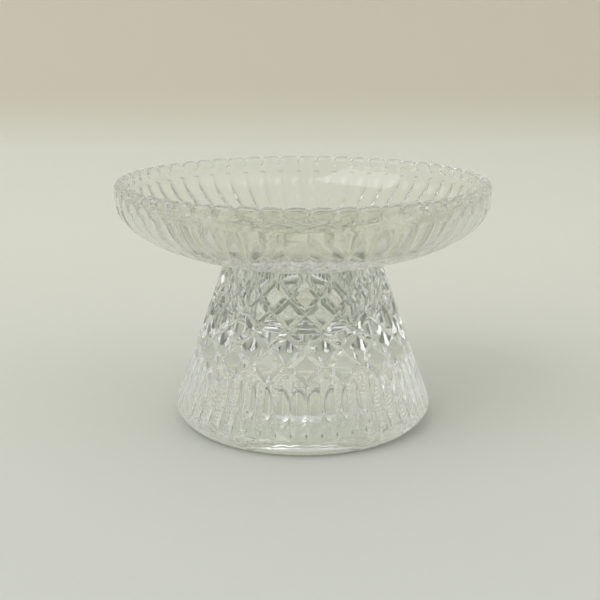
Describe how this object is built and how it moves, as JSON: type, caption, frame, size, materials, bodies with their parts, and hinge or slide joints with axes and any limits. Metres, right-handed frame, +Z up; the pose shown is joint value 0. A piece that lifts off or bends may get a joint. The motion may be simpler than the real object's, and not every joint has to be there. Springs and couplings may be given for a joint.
{
  "type": "candle plate",
  "caption": "Round shallow clear-glass dish with fluted underside and scalloped rim, joined on a flared glass pedestal with a raised diamond lattice and reeded skirt.",
  "frame": {"origin": "middle of the circle the foot stands on, at table height", "axes": "+Z up through the middle of the dish; the front of the piece, -Y, looks at a groove between two flutes"},
  "size_m": [0.1196, 0.1194, 0.0793],
  "materials": {
    "plate_glass": "polished, fire-finished pressed glass with a faint grey-green tone",
    "clear_joint": "clear, smooth, glossy joint film",
    "pedestal_glass": "polished, fire-finished pressed glass with a neutral, slightly cool tone"
  },
  "bodies": {
    "root": {"plate": "plate_glass", "bond": "clear_joint", "pedestal": "pedestal_glass"}
  },
  "joints": []
}
